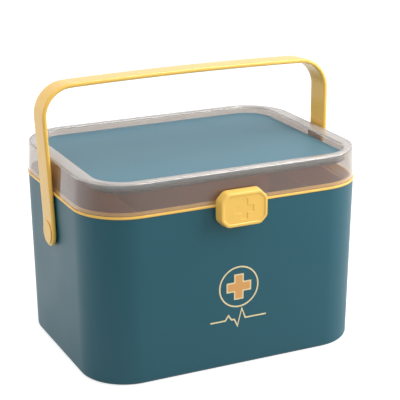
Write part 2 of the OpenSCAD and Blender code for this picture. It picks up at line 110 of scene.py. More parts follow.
# %% Shared sizes in millimetres
AXIS_X = 98.65
AXIS_Y = 61.05
BIN_FOOT_R = 47.5
BIN_FLARE = 3.1
BIN_HEIGHT = 170.0
BIN_WALL = 2.2
MOUTH_R = BIN_FOOT_R + BIN_FLARE
RIM_TOP = 172.2
PIVOT_Z = 129.3
HINGE_X = 72.0
HINGE_Y = 116.25
HINGE_Z = 171.0
LATCH_PIN_Y = -117.05
LATCH_PIN_Z = 163.0
SPRING_Z = 157.2
HINGES = [(side * HINGE_X, HINGE_Y, HINGE_Z) for side in (-1, 1)]
LATCH_PIN = (0, LATCH_PIN_Y, LATCH_PIN_Z)
PIVOT = (0, 0, PIVOT_Z)
# A pin or screw sits tight in a hole of the first radius and turns in one of the second.
PIN_SEAT_R = 1.52
PIN_BORE_R = 1.56


def bin_radius(z):
    return BIN_FOOT_R + BIN_FLARE * z / BIN_HEIGHT


wall_at_pivot = AXIS_X + bin_radius(PIVOT_Z)
print("the bin is", 2 * (AXIS_X + MOUTH_R), "mm wide at its mouth")
print("its side wall stands", round(wall_at_pivot, 2), "mm out at the handle's pivots")

# %% [markdown]
# ## Colours and nodes
#
# Colours are easiest to read as the hex values of a paint program, but Blender's shaders add light in linear
# values. One function turns the first into the second. A second one adds a node to any node tree, sets its
# values and joins it to what feeds it, so that each finish further down reads as a short recipe. The others
# shorten what comes up often: sums, noise of a given size in millimetres, and a bump of a given depth.

# %% Colour and node helpers


def linear(hex_colour):
    channels = [int(hex_colour[i : i + 2], 16) / 255 for i in (1, 3, 5)]
    return tuple(c / 12.92 if c <= 0.04045 else ((c + 0.055) / 1.055) ** 2.4 for c in channels) + (1.0,)


def add_node(tree, kind, inputs=None, **settings):
    node = tree.nodes.new(kind)
    for name, value in settings.items():
        setattr(node, name, value)
    for name, value in (inputs or {}).items():
        if isinstance(value, bpy.types.NodeSocket):
            tree.links.new(value, node.inputs[name])
        else:
            node.inputs[name].default_value = value
    return node


def math_node(tree, operation, a, b):
    return add_node(tree, "ShaderNodeMath", {0: a, 1: b}, operation=operation).outputs["Value"]


def vector_node(tree, operation, a, b):
    second = "Scale" if operation == "SCALE" else 1
    return add_node(tree, "ShaderNodeVectorMath", {0: a, second: b}, operation=operation).outputs["Vector"]


def noise_node(tree, place, size_mm, detail=1.0):
    return add_node(tree, "ShaderNodeTexNoise", {
        "Vector": place, "Scale": 1 / (size_mm * MM), "Detail": detail}).outputs["Fac"]


def bump_node(tree, height, depth_mm):
    return add_node(tree, "ShaderNodeBump", {
        "Height": height, "Strength": 1.0, "Distance": depth_mm * MM}).outputs["Normal"]


def empty_material(name):
    material = bpy.data.materials.new(name)
    material.use_nodes = True
    material.node_tree.nodes.clear()
    return material, material.node_tree


print("the bin's teal in linear values:", tuple(round(c, 3) for c in linear("#125462")))

# %% [markdown]
# ## Finish: moulded plastic
#
# Bin, panel, handle, rim and latch are injection moulded. Such a skin is never quite even: the mould is
# spark-eroded to a fine grain that breaks up reflections, the colour drifts a little over a hand's width
# where the melt flowed, and the sheen drifts with it. A wide noise pattern gives the drift and a fine one the
# grain. An image could do it too, but noise in object coordinates needs no unwrapping and stays fixed to the
# piece when it moves. The real grain is about 0.2 mm across, too fine for a picture of this size, so it is
# drawn three to six times as coarse.

# %% Moulded plastic
FLOW_MM = 70
SHEEN_DRIFT = 0.03


def moulded_plastic(name, colour, drift_colour, roughness, grain_mm, grain_depth_mm, ior=1.49, specular=0.5):
    material, tree = empty_material(name)
    place = add_node(tree, "ShaderNodeTexCoord").outputs["Object"]
    flow = noise_node(tree, place, FLOW_MM, detail=2.0)
    tint = add_node(tree, "ShaderNodeMix", {
        "Factor": flow, "A": linear(colour), "B": linear(drift_colour)}, data_type="RGBA")
    sheen = add_node(tree, "ShaderNodeMapRange", {
        "Value": flow, "From Min": 0.3, "From Max": 0.7,
        "To Min": roughness - SHEEN_DRIFT, "To Max": roughness + SHEEN_DRIFT})
    grain = noise_node(tree, place, grain_mm)
    skin = add_node(tree, "ShaderNodeBsdfPrincipled", {
        "Base Color": tint.outputs["Result"], "Roughness": sheen.outputs["Result"],
        "Normal": bump_node(tree, grain, grain_depth_mm), "IOR": ior, "Specular IOR Level": specular})
    add_node(tree, "ShaderNodeOutputMaterial", {"Surface": skin.outputs["BSDF"]})
    return material


# Polypropylene with a satin, grained skin: a dark, slightly blue teal with a wide, soft highlight.
teal_polypropylene = moulded_plastic("teal_polypropylene", "#125462", "#185765", 0.42, 0.8, 0.012)
# ABS, drawn in a paler, greyer blue than the bin's teal. That paleness is painted light: it stands in for
# the top light and sheen on the level plate. It is matt enough that a lamp leaves only a wide sheen on it.
panel_abs = moulded_plastic("panel_abs", "#4d7787", "#527b8b", 0.45, 1.2, 0.004, ior=1.53, specular=0.3)
# ABS with a fine satin skin: warm yellow whose rounded edges catch the light.
yellow_abs = moulded_plastic("yellow_abs", "#f9ca62", "#f6c55c", 0.26, 0.9, 0.006, ior=1.53, specular=0.4)
print("moulded finishes:", teal_polypropylene.name, panel_abs.name, yellow_abs.name)

# %% [markdown]
# ## Finish: smoky clear plastic
#
# The lid is smoke-tinted clear polystyrene from a polished mould. It darkens what lies behind it, mirrors at
# its rims and has the very shallow waves of a moulded sheet. The Principled shader's transmission does that,
# with a little haze that keeps it from looking like glass, and a volume inside it absorbs light, so that two
# walls in a row look darker than one. The level top of its border gets painted sheen: above a given
# height the finish gets rougher and cloudier, so that it shows paler than the walls, in place of the
# bright reflections on it.
# Lamps shine through real clear plastic, but a path tracer seldom finds that way, so shadow rays alone meet a
# plain tinted transparent shader instead. The tray is a warmer and much cloudier grade of the same plastic.

# %% Smoky plastic
WAVE_MM = 25
WAVE_DEPTH_MM = 0.004
SMOKE_DENSITY = 200.0
# Painted sheen: from this height up the lid's finish is rougher and cloudier, so the border's top shows paler.
PAINTED_SHEEN_FROM_MM = 202.9
PAINTED_SHEEN_ROUGHNESS = 0.2
PAINTED_SHEEN_TRANSMISSION = 0.68
PAINTED_SHEEN_BLEND_MM = 0.4


def smoky_plastic(name, colour, shade_colour, smoke, roughness, transmission, painted_sheen_from_mm=None):
    material, tree = empty_material(name)
    place = add_node(tree, "ShaderNodeTexCoord").outputs["Object"]
    waves = noise_node(tree, place, WAVE_MM)
    skin = add_node(tree, "ShaderNodeBsdfPrincipled", {
        "Base Color": linear(colour), "Roughness": roughness, "IOR": 1.57,
        "Transmission Weight": transmission, "Normal": bump_node(tree, waves, WAVE_DEPTH_MM)})
    # Painted sheen: above the given height the finish blends to rougher and cloudier, so the border's top shows
    # paler.
    if painted_sheen_from_mm:
        axes = add_node(tree, "ShaderNodeSeparateXYZ", {"Vector": place})
        for socket, polished, painted_sheen_value in (
                ("Roughness", roughness, PAINTED_SHEEN_ROUGHNESS),
                ("Transmission Weight", transmission, PAINTED_SHEEN_TRANSMISSION)):
            level = add_node(tree, "ShaderNodeMapRange", {
                "Value": axes.outputs["Z"],
                "From Min": painted_sheen_from_mm * MM, "From Max": (painted_sheen_from_mm + PAINTED_SHEEN_BLEND_MM) * MM,
                "To Min": polished, "To Max": painted_sheen_value})
            tree.links.new(level.outputs["Result"], skin.inputs[socket])
    clear = add_node(tree, "ShaderNodeBsdfTransparent", {"Color": linear(shade_colour)})
    rays = add_node(tree, "ShaderNodeLightPath")
    both = add_node(tree, "ShaderNodeMixShader", {
        0: rays.outputs["Is Shadow Ray"], 1: skin.outputs["BSDF"], 2: clear.outputs["BSDF"]})
    inside = add_node(tree, "ShaderNodeVolumeAbsorption", {"Color": linear(smoke), "Density": SMOKE_DENSITY})
    add_node(tree, "ShaderNodeOutputMaterial", {
        "Surface": both.outputs["Shader"], "Volume": inside.outputs["Volume"]})
    return material


# Polished clear polystyrene: glossy, a nearly neutral grey where one looks through two of its walls.
smoky_polystyrene = smoky_plastic("smoky_polystyrene", "#efebe8", "#f4eadf", "#cbc6c2", 0.03, 0.93,
                                  painted_sheen_from_mm=PAINTED_SHEEN_FROM_MM)
# Cloudy polystyrene: satin amber in the hand, which the smoke in front of it turns to brown.
tray_polystyrene = smoky_plastic("tray_polystyrene", "#f8b56c", "#ecdac4", "#d8c4b0", 0.15, 0.3)
print("clear finishes:", smoky_polystyrene.name, tray_polystyrene.name)

# %% [markdown]
# ## Finish: bright steel, and printing ink
#
# Pins, screws and the spring are bright drawn steel wire: a metal with fine lines along its length, which
# stretch a highlight. Ink is a thin layer that lies on the plastic, a little duller than it.

# %% Steel and ink
DRAW_LINE_MM = 0.3
STEEL_NODES = ("hinge_pin_left", "hinge_pin_right", "latch_pin", "handle_screw_left", "handle_screw_right")
steel, steel_tree = empty_material("drawn_steel")
steel_place = add_node(steel_tree, "ShaderNodeTexCoord").outputs["Object"]
along_pin = add_node(steel_tree, "ShaderNodeMapping", {"Vector": steel_place, "Scale": (0.05, 1.0, 1.0)})
draw_lines = noise_node(steel_tree, along_pin.outputs["Vector"], DRAW_LINE_MM, detail=2.0)
steel_sheen = add_node(steel_tree, "ShaderNodeMapRange", {
    "Value": draw_lines, "To Min": 0.18, "To Max": 0.34})
steel_skin = add_node(steel_tree, "ShaderNodeBsdfPrincipled", {
    "Base Color": linear("#c4c6c9"), "Metallic": 1.0, "Roughness": steel_sheen.outputs["Result"]})
add_node(steel_tree, "ShaderNodeOutputMaterial", {"Surface": steel_skin.outputs["BSDF"]})

cream_ink = moulded_plastic("cream_ink", "#ecdcae", "#e7d5a2", 0.45, 0.6, 0.006)
amber_ink = moulded_plastic("amber_ink", "#e0a664", "#dba05c", 0.45, 0.6, 0.006)
for node_name in STEEL_NODES:
    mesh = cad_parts[node_name].data
    mesh.materials.clear()
    mesh.materials.append(steel)
print("steel goes on the pins and screws of the CAD model")

# %% [markdown]
# ## Making meshes
#
# Almost every piece here is a skin drawn over a row of outlines, as a boat's hull is drawn over its ribs. So
# one function lofts: it takes closed outlines with the same number of points and joins each to the next.
# A second softens a profile: each of its corners gets a small arc, because a moulded edge is never sharp and
# it is the soft edge that catches the light.

# %% Softened profiles and lofts
ARC_STEPS = 4
CREASE = math.radians(35)


def softened(corners, closed=False, steps=ARC_STEPS):
    line = []
    for i, (x, y, radius) in enumerate(corners):
        here = Vector((x, y))
        at_end = not closed and i in (0, len(corners) - 1)
        if radius == 0 or at_end:
            line.append((x, y))
            continue
        before = (Vector(corners[i - 1][:2]) - here).normalized()
        after = (Vector(corners[(i + 1) % len(corners)][:2]) - here).normalized()
        half = before.angle(after) / 2
        centre = here + (before + after).normalized() * radius / math.sin(half)
        start = here + before * radius / math.tan(half) - centre
        end = here + after * radius / math.tan(half) - centre
        first = math.atan2(start.y, start.x)
        turn = math.remainder(math.atan2(end.y, end.x) - first, 2 * math.pi)
        for k in range(steps + 1):
            angle = first + turn * k / steps
            line.append((centre.x + radius * math.cos(angle), centre.y + radius * math.sin(angle)))
    return line


def finish_mesh(piece):
    work = bmesh.new()
    work.from_mesh(piece.data)
    bmesh.ops.remove_doubles(work, verts=work.verts, dist=0.001 * MM)
    bmesh.ops.recalc_face_normals(work, faces=work.faces)
    work.to_mesh(piece.data)
    work.free()
    piece.data.shade_smooth()
    piece.data.set_sharp_from_angle(angle=CREASE)
    return piece


def bare_piece(name, points=(), edges=(), faces=()):
    mesh = bpy.data.meshes.new(name)
    mesh.from_pydata([tuple(c * MM for c in p) for p in points], edges, faces)
    piece = bpy.data.objects.new(name, mesh)
    scene.collection.objects.link(piece)
    return piece


def mesh_piece(name, points, faces):
    return finish_mesh(bare_piece(name, points, faces=faces))


def loft(name, loops, closed=False):
    count = len(loops[0])
    points = [p for loop in loops for p in loop]
    faces = []
    pairs = len(loops) if closed else len(loops) - 1
    for i in range(pairs):
        low = i * count
        high = (i + 1) % len(loops) * count
        for j in range(count):
            k = (j + 1) % count
            faces.append((low + j, low + k, high + k, high + j))
    if not closed:
        faces.append(tuple(range(count))[::-1])
        faces.append(tuple(range(len(points) - count, len(points))))
    return mesh_piece(name, points, faces)


print("a softened corner gets", ARC_STEPS + 1, "points")

# %% [markdown]
# The outline that all the large pieces share is a rectangle with round corners. Its long straight sides are
# cut into several faces, so that the shading doesn't have to stretch across one very long face.

# %% The box's outline
CORNER_STEPS = 20
SIDE_STEPS = 6


def rounded_outline(half_x, half_y, radius, z):
    arcs = []
    for k, (sx, sy) in enumerate(((1, 1), (-1, 1), (-1, -1), (1, -1))):
        for i in range(CORNER_STEPS + 1):
            angle = math.radians(90 * (k + i / CORNER_STEPS))
            x = sx * (half_x - radius) + radius * math.cos(angle)
            y = sy * (half_y - radius) + radius * math.sin(angle)
            arcs.append((x, y))
    points = []
    for i, (x, y) in enumerate(arcs):
        points.append((x, y, z))
        if i % (CORNER_STEPS + 1) == CORNER_STEPS:
            next_x, next_y = arcs[(i + 1) % len(arcs)]
            for s in range(1, SIDE_STEPS):
                t = s / SIDE_STEPS
                points.append((x + (next_x - x) * t, y + (next_y - y) * t, z))
    return points


def box_outline(radius, z):
    return rounded_outline(AXIS_X + radius, AXIS_Y + radius, radius, z)


print("each outline has", len(box_outline(MOUTH_R, 0)), "points")

# %% [markdown]
# Some features, such as pivot bosses, hinge knuckles and bores, break into a lofted skin. They are small
# solids of their own that a Boolean joins to the piece or cuts out of it. The exact solver is used, because
# the result has to be one clean closed skin: the lid is see-through, and a wall hidden inside it would show.
# Faces that share a plane make a Boolean unsure, so there one of the two solids stops a hair short. The ears,
# knuckles and ribs that hold a pin are all alike: an eye round the pin, and a web that joins it to a wall.

# %% Small solids and Booleans
ROUND_STEPS = 48
HAIR = 0.02


def circle(radius, steps):
    angles = [2 * math.pi * i / steps for i in range(steps)]
    return [(radius * math.cos(a), radius * math.sin(a)) for a in angles]


def turned(name, profile, centre, axis="X"):
    """Solid of revolution: the profile's corners are (radius, distance along the axis, softening)."""
    loops = []
    for radius, along in softened(profile):
        ring = circle(radius, ROUND_STEPS)
        offsets = [(along, u, v) if axis == "X" else (u, along, v) for u, v in ring]
        loops.append([tuple(c + o for c, o in zip(centre, offset)) for offset in offsets])
    return loft(name, loops)


def rod(name, radius, start, end, centre, edge=0.3, axis="X"):
    corners = [(radius / 2, start, 0), (radius, start, edge), (radius, end, edge), (radius / 2, end, 0)]
    return turned(name, corners, centre, axis)


def pin_hole(radius, reach, centre):
    return rod("pin_hole", radius, -reach, reach, centre, edge=0)


def pin_eye(radius, x0, x1, pin, root_y, low_z, high_z, edge=0.3, web_edge=0):
    y0, y1 = sorted((pin[1], root_y))
    web = block("web", (pin[0] + x0 + HAIR, y0, low_z), (pin[0] + x1 - HAIR, y1, high_z), web_edge)
    return [rod("eye", radius, x0, x1, pin, edge), web]


def block(name, low, high, edge):
    piece = loft(name, [
        [(low[0], low[1], z), (high[0], low[1], z), (high[0], high[1], z), (low[0], high[1], z)]
        for z in (low[2], high[2])])
    return round_edges(piece, edge) if edge else piece


def round_edges(piece, width, segments=2, limit="ANGLE"):
    soft = piece.modifiers.new("soft_edges", "BEVEL")
    soft.width = width * MM
    soft.segments = segments
    soft.limit_method = limit
    return freeze(piece)


def freeze(piece):
    """Turns what the modifiers make into the piece's own mesh and removes them."""
    depsgraph = bpy.context.evaluated_depsgraph_get()
    mesh = bpy.data.meshes.new_from_object(piece.evaluated_get(depsgraph))
    old = piece.data
    piece.modifiers.clear()
    piece.data = mesh
    bpy.data.meshes.remove(old)
    mesh.name = piece.name
    return piece


def combine(piece, others, operation):
    for other in others:
        join = piece.modifiers.new("join", "BOOLEAN")
        join.operation = operation
        join.solver = "EXACT"
        join.object = other
        freeze(piece)
        bpy.data.objects.remove(other)
    finish_mesh(piece)


def dress(piece, body, slot, material, *nodes):
    """Gives a finished piece its material, its body and the CAD nodes it stands for. The slot argument is not
    used.
    """
    piece.data.materials.clear()
    piece.data.materials.append(material)
    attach(piece, body)
    if nodes:
        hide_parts(*nodes)
    corners = [v.co / MM for v in piece.data.vertices]
    low = [round(min(c[i] for c in corners), 2) for i in range(3)]
    high = [round(max(c[i] for c in corners), 2) for i in range(3)]
    print(piece.name, "has", len(piece.data.polygons), "faces from", low, "to", high, "mm")


# %% [markdown]
# ## The bin
#
# The bin is one deep moulding: its walls lean out towards the mouth, so that it leaves its mould, and a round
# edge runs round the base. The loft starts under the base, goes up the outside, over the mouth and down the
# inside, so the wall has its real thickness. On each side a low boss carries a pivot cap of the handle.

# %% Bin
BIN_FLOOR = 2.6
FLOOR_RING_R = 38
BOSS_R = 10.25
BOSS_ROOT = wall_at_pivot - 1.1
BOSS_FACE = 149.51
INNER_BOSS_R = 8.5
INNER_BOSS_ROOT = wall_at_pivot - 1.0
INNER_BOSS_FACE = 145.31
NECK_BORE_R = 4.52
bin_profile = softened([
    (FLOOR_RING_R, 0, 0),
    (bin_radius(0), 0, 4),
    (MOUTH_R, BIN_HEIGHT, 0.4),
    (MOUTH_R - BIN_WALL, BIN_HEIGHT, 0.4),
    (bin_radius(BIN_FLOOR) - BIN_WALL, BIN_FLOOR, 2.9),
    (FLOOR_RING_R, BIN_FLOOR, 0),
], steps=8)
bin_shell = loft("bin_shell", [box_outline(r, z) for r, z in bin_profile])
bosses = []
for side in (-1, 1):
    bosses.append(rod("boss", BOSS_R, side * BOSS_ROOT, side * BOSS_FACE, PIVOT))
    bosses.append(rod("inner_boss", INNER_BOSS_R, side * INNER_BOSS_FACE, side * INNER_BOSS_ROOT, PIVOT))
combine(bin_shell, bosses, "UNION")
combine(bin_shell, [pin_hole(NECK_BORE_R, 155, PIVOT)], "DIFFERENCE")
dress(bin_shell, "box", "teal_plastic", teal_polypropylene, "body_shell")

# %% [markdown]
# ## The rim frame
#
# A yellow frame caps the mouth. From outside only its 2 mm edge shows, as a bright line between bin and lid.
# Its section is the same all the way round, so it is a sweep: Geometry Nodes take the section that the object
# itself holds and pull it along a rounded rectangle. Another box size would only change three of its inputs.

# %% Rim frame: the sweep tree


def new_tree(name, inputs):
    tree = bpy.data.node_groups.new(name, "GeometryNodeTree")
    for label, kind in {"Geometry": "Geometry", **inputs, "Material": "Material"}.items():
        tree.interface.new_socket(label, in_out="INPUT", socket_type="NodeSocket" + kind)
    tree.interface.new_socket("Geometry", in_out="OUTPUT", socket_type="NodeSocketGeometry")
    return tree, add_node(tree, "NodeGroupInput").outputs


def end_tree(tree, geometry, material):
    real = add_node(tree, "GeometryNodeRealizeInstances", {"Geometry": geometry})
    painted = add_node(tree, "GeometryNodeSetMaterial", {
        "Geometry": real.outputs["Geometry"], "Material": material})
    add_node(tree, "NodeGroupOutput", {"Geometry": painted.outputs["Geometry"]})


def run_tree(piece, tree, material, values):
    nodes = piece.modifiers.new("geometry", "NODES")
    nodes.node_group = tree
    values["Material"] = material
    for item in tree.interface.items_tree:
        if item.name in values:
            nodes[item.identifier] = values[item.name]
    finish_mesh(freeze(piece))


sweep_tree, sweep = new_tree("section_round_the_box", {
    "Width": "Float", "Depth": "Float", "Corner Radius": "Float", "Corner Steps": "Int"})
rectangle = add_node(sweep_tree, "GeometryNodeCurvePrimitiveQuadrilateral", {
    "Width": sweep["Width"], "Height": sweep["Depth"]})
rounded = add_node(sweep_tree, "GeometryNodeFilletCurve", {
    "Curve": rectangle.outputs["Curve"], "Radius": sweep["Corner Radius"], "Count": sweep["Corner Steps"]},
    mode="POLY")
level = add_node(sweep_tree, "GeometryNodeSetCurveNormal", {"Curve": rounded.outputs["Curve"]}, mode="Z_UP")
section = add_node(sweep_tree, "GeometryNodeMeshToCurve", {"Mesh": sweep["Geometry"]})
swept = add_node(sweep_tree, "GeometryNodeCurveToMesh", {
    "Curve": level.outputs["Curve"], "Profile Curve": section.outputs["Curve"]})
end_tree(sweep_tree, swept.outputs["Mesh"], sweep["Material"])
print("the sweep tree has", len(sweep_tree.nodes), "nodes")

# %% Rim frame: section and sweep
RIM_PATH_R = 48.0
rim_section = softened([
    (48.09, 164.2, 0.3),
    (48.2, BIN_HEIGHT, 0),
    (51.4, BIN_HEIGHT, 0.35),
    (51.4, RIM_TOP, 0.6),
    (48.0, RIM_TOP, 0.2),
    (48.0, 175.5, 0.4),
    (46.2, 175.5, 0.4),
    (46.2, 166, 0.3),
    (43.2, 166, 0.3),
    (43.2, 164.2, 0.3),
], closed=True)
section_edges = [(i, (i + 1) % len(rim_section)) for i in range(len(rim_section))]
rim = bare_piece("rim_frame_skin", [(r - RIM_PATH_R, -z, 0) for r, z in rim_section], section_edges)
run_tree(rim, sweep_tree, yellow_abs, {
    "Width": 2 * (AXIS_X + RIM_PATH_R) * MM,
    "Depth": 2 * (AXIS_Y + RIM_PATH_R) * MM,
    "Corner Radius": RIM_PATH_R * MM,
    "Corner Steps": CORNER_STEPS,
})
print("the swept rim has", len(rim.data.polygons), "faces")

# %% [markdown]
# The rim frame also holds the lid and the latch: at the back two pairs of ears for the hinge pins, and at the
# front an apron with two ears for the latch's pin and a peg for its spring.

# %% Rim frame: ears and apron
EAR_START = 9.3
EAR_END = 19.3
KNUCKLE_R = 3.5
APRON_HALF = 15
APRON_FRONT = -113.65
APRON_BITE = APRON_FRONT + 0.4
LATCH_EAR_R = 3.0
PEG_R = 1.6
ears = []
for hinge in HINGES:
    for x0, x1 in ((-EAR_END, -EAR_START), (EAR_START, EAR_END)):
        ears += pin_eye(KNUCKLE_R, x0, x1, hinge, 111, BIN_HEIGHT + HAIR, RIM_TOP - HAIR, edge=0.4)
ears.append(block("apron", (-APRON_HALF, APRON_FRONT, 154.1), (APRON_HALF, -111.8, RIM_TOP - 2 * HAIR), 0.4))
web_half = LATCH_EAR_R - HAIR
for x0, x1 in ((-14.5, -11), (11, 14.5)):
    ears += pin_eye(
        LATCH_EAR_R, x0, x1, LATCH_PIN, APRON_BITE, LATCH_PIN_Z - web_half, LATCH_PIN_Z + web_half)
ears.append(rod("spring_peg", PEG_R, -115.25, APRON_BITE, (0, 0, SPRING_Z), axis="Y"))
combine(rim, ears, "UNION")
pin_holes = [pin_hole(PIN_SEAT_R, 22, hinge) for hinge in HINGES]
combine(rim, pin_holes + [pin_hole(PIN_SEAT_R, 25, LATCH_PIN)], "DIFFERENCE")
dress(rim, "box", "yellow_plastic", yellow_abs, "rim_frame")

# %% [markdown]
# ## The lid
#
# The lid is a shallow smoky cap. Its wall leans in a little, a round edge leads onto a raised border, and
# inside the border lies a recess for the panel. The recess's upper edge is well rounded too: a sharper one
# bends the view into the dark inside and shows as a black line. The lid is one closed loft again: from the
# recess's floor up over the border and down the outer wall, then back up the inner wall to the underside of
# that floor.

# %% Lid
LID_BOTTOM = 172.5
LID_TOP = 204.2
LID_INNER_TOP = 202.0
RECESS_X = 132.55
RECESS_Y = 101.95
RECESS_R = 30
RECESS_EDGE_R = 2.4
RECESS_FLOOR = 195.0
RECESS_UNDERSIDE = 192.8
KNUCKLE_HALF = 9


def recess_outline(offset, z):
    return rounded_outline(RECESS_X + offset, RECESS_Y + offset, RECESS_R + offset, z)


recess_profile = softened([
    (-6, RECESS_FLOOR, 0),
    (0, RECESS_FLOOR, 0.4),
    (0, LID_TOP, RECESS_EDGE_R),
    (5, LID_TOP, 0),
])[:-1]
cap_profile = softened([
    (40, LID_TOP, 0),
    (49.1, LID_TOP, 2.2),
    (50.6, LID_BOTTOM, 0.35),
    (48.4, LID_BOTTOM, 0.35),
    (47.0, LID_INNER_TOP, 1.1),
    (40, LID_INNER_TOP, 0),
], steps=8)[1:-1]
underside_profile = softened([
    (8, LID_INNER_TOP, 0),
    (2.2, LID_INNER_TOP, 0.6),
    (2.2, RECESS_UNDERSIDE, 1.0),
    (-6, RECESS_UNDERSIDE, 0),
])[1:]
lid_loops = [recess_outline(offset, z) for offset, z in recess_profile]
lid_loops += [box_outline(r, z) for r, z in cap_profile]
lid_loops += [recess_outline(offset, z) for offset, z in underside_profile]
lid = loft("lid_shell", lid_loops)
knuckles = []
for hinge in HINGES:
    knuckles += pin_eye(KNUCKLE_R, -KNUCKLE_HALF, KNUCKLE_HALF, hinge, 110.5, LID_BOTTOM + HAIR, 175.0,
                        edge=0.4, web_edge=0.3)
knuckles.append(block("catch", (-12, -113.17, 174.0), (12, -110.5, 176.5), 0.3))
combine(lid, knuckles, "UNION")
combine(lid, [pin_hole(PIN_BORE_R, 15, hinge) for hinge in HINGES], "DIFFERENCE")
dress(lid, "lid", "smoky_plastic", smoky_polystyrene, "lid_cover")

# %% [markdown]
# ## The panel
#
# A flat plate lies in the recess, lower than the border, with a hairline gap round it. Its upper edge is
# rounded, so no hard line runs round it.

# %% Panel
PANEL_TOP = 197.2
PANEL_FOOT = RECESS_FLOOR + 0.03
PANEL_GAP = 0.25
panel_profile = softened([
    (-9, PANEL_FOOT, 0),
    (-PANEL_GAP, PANEL_FOOT, 0.3),
    (-PANEL_GAP, PANEL_TOP, 0.7),
    (-9, PANEL_TOP, 0),
])
panel = loft("lid_panel_plate", [recess_outline(offset, z) for offset, z in panel_profile])
# The panel's pale colour is painted light, in place of the light and sheen on its level top.
dress(panel, "lid", "panel_plastic", panel_abs, "lid_panel")

# %% [markdown]
# ## The bail handle
#
# The handle is a moulded strap of even width and thickness that follows a path: up one side, round a corner,
# across as a slightly arched grip and down again. It is easiest to think of as a flat strip with round, bored
# ends that gets bent. So the strip is modelled flat, where its edges are simple to round, and Geometry Nodes
# then lay it along the path: each point's distance along the strip is looked up on the curve, and its width
# and thickness are measured across it.

# %% Handle: its path
STRAP_W = 28.5
STRAP_T = 4.4
ARM_OUT = 154.21
ARM_SPLAY = 3.0
GRIP_CORNER_R = 32
GRIP_HALF = ARM_OUT + ARM_SPLAY - GRIP_CORNER_R
GRIP_HEIGHT = 147.5
GRIP_ARCH = 1.8
HANDLE_LEAN = math.radians(3.4)
ARM_STRAIGHT = STRAP_W / 2 + 2
GRIP_STEPS = 30
BEND_STEPS = 24

right_half = []
for i in range(GRIP_STEPS + 1):
    x = GRIP_HALF * i / GRIP_STEPS
    right_half.append((x, GRIP_HEIGHT + GRIP_ARCH * (1 - (x / GRIP_HALF) ** 2)))
for i in range(1, BEND_STEPS + 1):
    angle = math.radians(90 - 90 * i / BEND_STEPS)
    right_half.append((GRIP_HALF + GRIP_CORNER_R * math.cos(angle),
                       GRIP_HEIGHT - GRIP_CORNER_R + GRIP_CORNER_R * math.sin(angle)))
right_half += [(ARM_OUT, ARM_STRAIGHT), (ARM_OUT, 0.0)]
path_points = [(-x, 0, z) for x, z in right_half[:0:-1]] + [(x, 0, z) for x, z in right_half]
path_length = sum(math.dist(a, b) for a, b in zip(path_points, path_points[1:]))
path_object = bare_piece("handle_path", path_points, [(i, i + 1) for i in range(len(path_points) - 1)])
print("from pivot to pivot the strap is", round(path_length, 1), "mm long")

# %% [markdown]
# The flat strip is a grid between its two ends. At each end the grid has to turn into rings round the bore:
# the outer ring follows the strap's outline, the inner one the bore, and every point of one has a partner at
# the same angle on the other. That keeps all faces four-sided, which bend and bevel well.

# %% Handle: the flat strip
# The real bore is 7.06 mm in radius. Its straight chords would cut into the round bearing, so the points lie
# a hair further out.
EYE_R = 7.09
EYE_STEPS = 24
COLUMNS = 8
ROWS = 180
RINGS = 3
widths = [STRAP_W * (j / COLUMNS - 0.5) for j in range(COLUMNS + 1)]


def eye_outline():
    """Outline of the strip's end, from one side round the pivot to the other."""
    half = STRAP_W / 2
    line = [(ARM_STRAIGHT, w) for w in widths]
    line += [(ARM_STRAIGHT * (3 - i) / 4, half) for i in range(3)]
    for i in range(EYE_STEPS + 1):
        angle = math.pi * i / EYE_STEPS
        line.append((-half * math.sin(angle), half * math.cos(angle)))
    line += [(ARM_STRAIGHT * (i + 1) / 4, -half) for i in range(3)]
    return line


def strip_faces():
    """Points (distance along, across) and faces of the flat strip."""
    points = []
    faces = []
    run = path_length - 2 * ARM_STRAIGHT
    for i in range(ROWS + 1):
        points += [(ARM_STRAIGHT + run * i / ROWS, w) for w in widths]
    for i in range(ROWS):
        for j in range(COLUMNS):
            a = i * (COLUMNS + 1) + j
            faces.append((a, a + COLUMNS + 1, a + COLUMNS + 2, a + 1))
    outer = eye_outline()
    count = len(outer)
    for end in (0, 1):
        index = [end * ROWS * (COLUMNS + 1) + i for i in range(COLUMNS + 1)]
        start = len(points)
        for ring in range(RINGS + 1):
            for s, w in outer if ring else outer[COLUMNS + 1 :]:
                bore = Vector((s, w)).normalized() * EYE_R
                p = Vector((s, w)).lerp(bore, ring / RINGS)
                points.append((p.x if end == 0 else path_length - p.x, p.y))
        index += range(start, len(points))
        rings = [index[count * ring : count * (ring + 1)] for ring in range(RINGS + 1)]
        for a, b in zip(rings, rings[1:]):
            for k in range(count):
                n = (k + 1) % count
                face = (a[k], a[n], b[n], b[k])
                faces.append(face if end == 0 else face[::-1])
    return points, faces


strip_points, strip_quads = strip_faces()
strap_points = [(s - path_length / 2, w, z) for z in (0, -STRAP_T) for s, w in strip_points]
sides = {(a, b): None for face in strip_quads for a, b in zip(face, face[1:] + face[:1])}
rim_edges = [(a, b) for a, b in sides if (b, a) not in sides]
below = len(strip_points)
strap_faces = strip_quads + [tuple(i + below for i in face[::-1]) for face in strip_quads]
strap_faces += [(b, a, a + below, b + below) for a, b in rim_edges]
strap = mesh_piece("bail_handle_strap", strap_points, strap_faces)
print("the flat strip has", len(strap.data.polygons), "faces")

# %% [markdown]
# The strap's long edges are almost full rounds, which is what makes it pleasant to hold: their upper half
# takes the light of the top face and the lower half falls into shade. The bore's edges are only broken. A
# Bevel modifier can do both at once when each edge carries its own weight.

